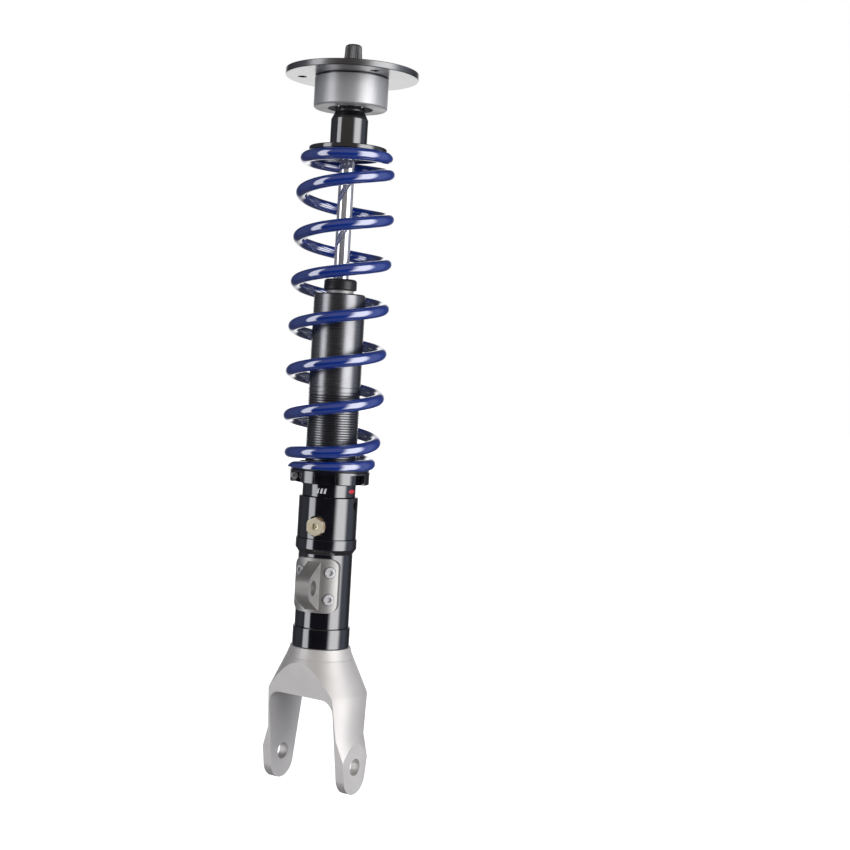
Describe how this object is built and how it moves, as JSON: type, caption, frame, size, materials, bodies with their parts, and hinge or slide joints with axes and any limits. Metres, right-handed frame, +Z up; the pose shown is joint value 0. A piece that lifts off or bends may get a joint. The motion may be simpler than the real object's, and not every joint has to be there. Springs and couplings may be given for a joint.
{
  "type": "coil-over strut assembly",
  "caption": "Coil-over strut with a forked lower mount, drop link bracket, threaded damper body, coil spring and pillow ball top mount.",
  "frame": {"origin": "centre of the clevis bolt at the lower end of the fork, midway between its legs", "axes": "+X along the clevis bolt, +Z up along the strut axis towards the top plate"},
  "size_m": [0.1072, 0.1072, 0.5958],
  "materials": {
    "satin_aluminium": "satin",
    "housing_aluminium": "satin",
    "gloss_black": "gloss",
    "gunmetal": "satin",
    "grey_anodised": "satin",
    "dark_anodised": "satin",
    "spring_blue": "gloss",
    "chrome": "polished",
    "steel": "satin",
    "dark_steel": "satin",
    "brass": "satin",
    "copper": "satin",
    "bronze": "satin",
    "seal_rubber": "matt",
    "nylon": "matt",
    "urethane": "matt",
    "ptfe": "matt"
  },
  "bodies": {
    "damper_body": {"fork": "satin_aluminium", "lower_ring": "gloss_black", "lower_tube": "gloss_black", "link_bracket": "grey_anodised", "bracket_screws": "steel", "lower_sleeve": "gloss_black", "sleeve_set_screw": "dark_steel", "valve_body": "brass", "valve_washer": "copper", "base_o_ring": "seal_rubber", "marking_ring": "gloss_black", "damper_tube": "gunmetal", "rod_guide": "satin_aluminium", "guide_bush": "bronze", "rod_seal": "seal_rubber", "guide_o_ring": "seal_rubber", "guide_circlip": "dark_steel", "gland_nut": "nylon", "wiper_seal": "seal_rubber"},
    "valve_core": {"valve_pin": "brass"},
    "gas_piston": {"floating_piston": "satin_aluminium", "floating_piston_seal": "seal_rubber", "floating_piston_band": "ptfe"},
    "spring_perch": {"slip_ring": "nylon", "coil_spring": "spring_blue"},
    "collar": {"spring_collar": "gloss_black", "collar_set_screw": "steel"},
    "upper_seat": {"upper_spring_seat": "gloss_black", "seat_thrust_washer": "ptfe"},
    "rod": {"piston": "satin_aluminium", "piston_band": "ptfe", "compression_shims": "steel", "rebound_shims": "steel", "piston_nut": "dark_steel", "rebound_stop": "seal_rubber", "piston_rod": "chrome", "bump_stop": "urethane", "rod_sleeve": "gloss_black", "pillow_ball": "chrome", "rod_washer": "steel", "rod_top_nut": "steel"},
    "adjuster": {"adjuster_rod": "steel", "adjuster_knob": "dark_anodised"},
    "bearing_liner": {"pillow_liner": "ptfe"},
    "top_mount": {"pillow_race": "steel", "race_circlip": "dark_steel", "mount_housing": "housing_aluminium", "top_plate": "dark_anodised", "plate_screws": "dark_steel"}
  },
  "joints": [
    {"name": "preload_travel", "type": "slide", "parent": "damper_body", "child": "spring_perch", "axis": [0, 0, 1], "range_m": [0, 0.015]},
    {"name": "collar_turn", "type": "hinge", "parent": "spring_perch", "child": "collar", "pos_m": [0, 0, 0.228], "axis": [0, 0, 1], "range_deg": [0, 2700]},
    {"name": "rod_stroke", "type": "slide", "parent": "spring_perch", "child": "upper_seat", "axis": [0, 0, 1], "range_m": [-0.085, 0], "stiffness_N_per_m": 35000, "deforming": ["coil_spring"]},
    {"name": "rod_spin", "type": "hinge", "parent": "upper_seat", "child": "rod", "pos_m": [0, 0, 0.49], "axis": [0, 0, 1], "continuous": true},
    {"name": "knob_turn", "type": "hinge", "parent": "rod", "child": "adjuster", "pos_m": [0, 0, 0.568], "axis": [0, 0, 1], "range_deg": [-540, 540]},
    {"name": "top_mount_tilt_x", "type": "hinge", "parent": "rod", "child": "bearing_liner", "pos_m": [0, 0, 0.535], "axis": [1, 0, 0], "range_deg": [-10, 10]},
    {"name": "top_mount_tilt_y", "type": "hinge", "parent": "bearing_liner", "child": "top_mount", "pos_m": [0, 0, 0.535], "axis": [0, 1, 0], "range_deg": [-10, 10]},
    {"name": "gas_piston_travel", "type": "slide", "parent": "damper_body", "child": "gas_piston", "axis": [0, 0, 1], "range_m": [-0.0103, 0]},
    {"name": "valve_press", "type": "slide", "parent": "damper_body", "child": "valve_core", "axis": [-0.2588, 0.9659, 0], "range_m": [0, 0.0012], "stiffness_N_per_m": 800}
  ],
  "couplings": [
    {"joint": "collar_turn", "follows": "preload_travel", "rad_per_m": 3141.6},
    {"joint": "gas_piston_travel", "follows": "rod_stroke", "ratio": 0.1206}
  ]
}
